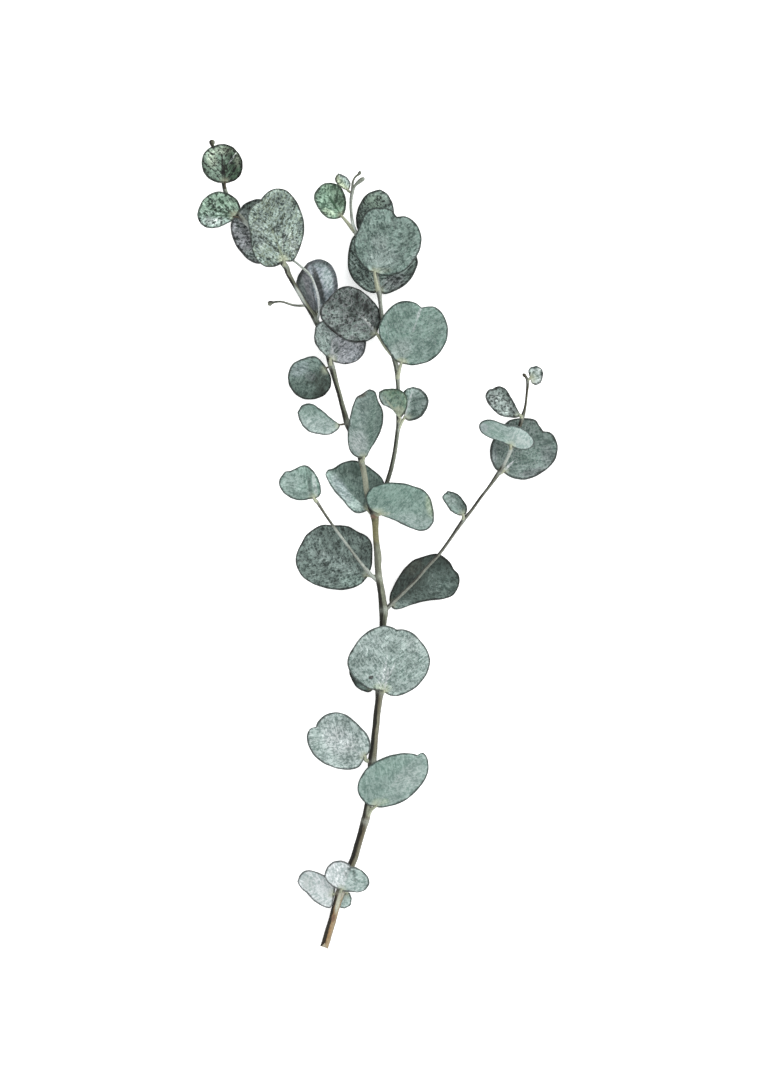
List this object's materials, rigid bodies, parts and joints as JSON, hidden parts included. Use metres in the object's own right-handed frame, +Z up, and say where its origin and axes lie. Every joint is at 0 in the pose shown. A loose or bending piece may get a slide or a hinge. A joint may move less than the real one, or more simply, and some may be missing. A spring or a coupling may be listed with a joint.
{
  "type": "eucalyptus branch",
  "caption": "Cut silver-dollar eucalyptus branch lying flat, with a slender forked woody stem, side twigs and round notched grey-green leaves on short stalks.",
  "frame": {"origin": "middle of the branch's footprint, on the surface that it lies on", "axes": "+Z up from that surface, +Y from the cut end towards the tips, +X to the side that the long right twig leans to"},
  "size_m": [0.1986, 0.4456, 0.0269],
  "materials": {
    "leaf_pale": "matte waxy leaf",
    "leaf_sage": "matte waxy leaf",
    "leaf_dark": "matte waxy leaf",
    "leaf_fresh": "matte waxy leaf",
    "bark": "matte bark"
  },
  "bodies": {
    "root": {"stem": "bark", "low_left": "leaf_pale", "low_front": "leaf_pale", "low_back": "leaf_pale", "lower_right": "leaf_sage", "lower_left": "leaf_pale", "middle_round": "leaf_pale", "middle_round_back": "leaf_dark", "fork_right": "leaf_dark", "fork_left": "leaf_dark", "left_twig_tip": "leaf_sage", "centre_right": "leaf_sage", "centre_left": "leaf_dark", "rolled": "leaf_sage", "left_side": "leaf_sage", "left_dark_round": "leaf_dark", "left_cross_low": "leaf_pale", "left_cross_high": "leaf_dark", "right_leader_round": "leaf_sage", "right_leader_low": "leaf_sage", "right_leader_low_back": "leaf_dark", "top_round": "leaf_sage", "top_back": "leaf_dark", "top_high": "leaf_dark", "shoot_left": "leaf_fresh", "shoot_bud_leaf": "leaf_pale", "folded_purple": "leaf_dark", "upper_left": "leaf_sage", "upper_left_back": "leaf_dark", "left_end": "leaf_fresh", "left_end_tip": "leaf_fresh", "right_twig_low": "leaf_sage", "right_end_edge": "leaf_pale", "right_end_round": "leaf_dark", "right_end_upper": "leaf_sage", "right_end_tip": "leaf_pale"}
  },
  "joints": []
}
